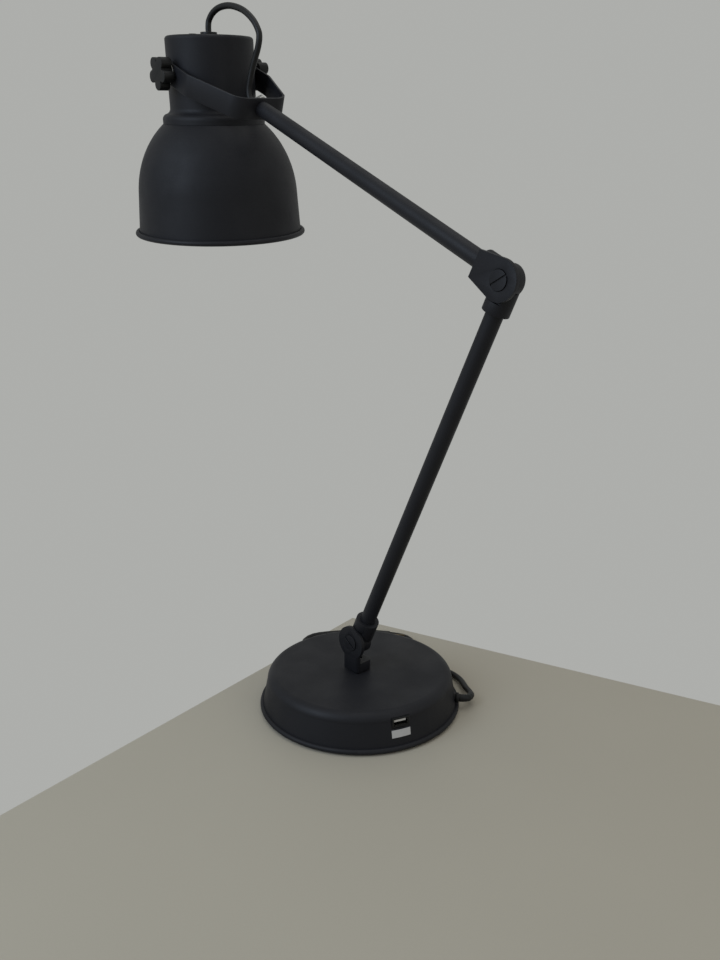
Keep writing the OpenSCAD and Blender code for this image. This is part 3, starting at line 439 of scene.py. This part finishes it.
def ribbed_sleeve(route):
    """The strain relief: a tapering ribbed sleeve on the start of the mains cord."""
    sleeve_route, run = [route[0]], 0
    for a, b in zip(route, route[1:]):
        run += (b - a).length
        if run > SLEEVE_LEN * MM:
            break
        sleeve_route.append(b)
    last = len(sleeve_route) - 1
    radii = []
    for i in range(last + 1):
        rib = SLEEVE_RIB if i % RIB_POINTS < RIB_POINTS / 2 else -SLEEVE_RIB
        radii.append(SLEEVE_START - SLEEVE_TAPER * i / last + rib)
    sleeve = as_mesh(cord_curve("strain_relief", sleeve_route, CORD_D, radii))
    sleeve.data.materials.append(FINISHES["black_plastic"])
    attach(sleeve, "base")
    return sleeve


def lay_mains_cord():
    route = mains_route()
    mains = cord_curve("mains_lead", route, CORD_D)
    mains.data.materials.append(FINISHES["cord_sheath"])
    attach(mains, "base")
    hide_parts("mains_cord", "cord_hank", "cord_tail")
    sleeve = ribbed_sleeve(route)


def lay_head_cord():
    route = [q * MM for q in smooth(HEAD, HEAD_STEPS)]
    loop = as_mesh(cord_curve("shade_flex", route, HEAD_CORD_D))
    loop.data.materials.append(FINISHES["cord_sheath"])
    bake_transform(loop)
    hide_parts("head_cord")


# Table, backdrop and light, in metres
TABLE_CORNER = Vector((-0.1383, 0.1185, 0))
TABLE_BACK, TABLE_SIDE = Vector((0.954, 0.3005, 0)), Vector((0.1886, -0.982, 0))
TABLE_LEN = 2.6
BACKDROP_TONE = (0.42, 0.425, 0.41)
ROOM_STRENGTH = 0.36
LAMPS_AIM = Vector((-0.03, 0, 0.3))
COOL, PLAIN = (0.8, 0.95, 1.16), (1, 1, 1)
# Each lamp's name, place, width, power in watts and tint
LAMPS = [
    ("window", (-0.2, -1.3, 0.95), 1.0, 9, COOL),
    ("ceiling", (0.2, 0.1, 1.9), 1.4, 5, PLAIN),
    ("room_fill", (1.3, 0.2, 0.7), 1.2, 2, PLAIN),
]


def set_table():
    back, side = TABLE_LEN * TABLE_BACK, TABLE_LEN * TABLE_SIDE
    top = bmesh.new()
    corners = [TABLE_CORNER, TABLE_CORNER + side, TABLE_CORNER + side + back, TABLE_CORNER + back]
    top.faces.new([top.verts.new(q) for q in corners])
    bmesh.ops.recalc_face_normals(top, faces=top.faces)
    mesh = bpy.data.meshes.new("table_top")
    top.to_mesh(mesh)
    top.free()
    table = bpy.data.objects.new("table_top", mesh)
    bpy.context.collection.objects.link(table)
    mesh.materials.append(
        finish("pale_table", (0.44, 0.407, 0.325), (0.42, 0.388, 0.309), 0.6, patch=3, bump=0.02))


def set_room():
    """Soft light from all round, and the backdrop's tone where the camera, a gloss or glass looks past the
    table."""
    world = bpy.data.worlds.new("room")
    bpy.context.scene.world = world
    world.use_nodes = True
    nodes, link = world.node_tree.nodes, world.node_tree.links.new
    nodes.clear()
    soft, seen = nodes.new("ShaderNodeBackground"), nodes.new("ShaderNodeBackground")
    soft.inputs["Color"].default_value = (*PLAIN, 1)
    soft.inputs["Strength"].default_value = ROOM_STRENGTH
    seen.inputs["Color"].default_value = (*BACKDROP_TONE, 1)
    rays = nodes.new("ShaderNodeLightPath")
    first, both = nodes.new("ShaderNodeMath"), nodes.new("ShaderNodeMath")
    first.operation = both.operation = "MAXIMUM"
    mix, out = nodes.new("ShaderNodeMixShader"), nodes.new("ShaderNodeOutputWorld")
    link(rays.outputs["Is Camera Ray"], first.inputs[0])
    link(rays.outputs["Is Glossy Ray"], first.inputs[1])
    link(first.outputs[0], both.inputs[0])
    link(rays.outputs["Is Transmission Ray"], both.inputs[1])
    link(both.outputs[0], mix.inputs["Fac"])
    link(soft.outputs[0], mix.inputs[1])
    link(seen.outputs[0], mix.inputs[2])
    link(mix.outputs[0], out.inputs["Surface"])


def set_lamps():
    for name, spot, size, power, tint in LAMPS:
        data = bpy.data.lights.new(name, "AREA")
        data.size = size
        data.energy = power
        data.color = tint
        lamp = bpy.data.objects.new(name, data)
        lamp.location = spot
        lamp.rotation_euler = (LAMPS_AIM - Vector(spot)).to_track_quat("-Z", "Y").to_euler()
        bpy.context.collection.objects.link(lamp)


bpy.context.scene.view_settings.view_transform = "Standard"
set_camera()
# The outlet's shell gets the darkened steel, painted shade of its recess; every other solid gets its slot's
# finish
for node, solid in frame["nodes"].items():
    solid.data.materials.clear()
    solid.data.materials.append(OUTLET_STEEL_PAINTED_SHADE if node == "usb_socket" else FINISHES[slot_of[node]])
finished = {node: rounded(node, edge) for node, edge in EDGES.items()}
lay_mains_cord(
    )
lay_head_cord()
set_table()
set_room()
set_lamps()
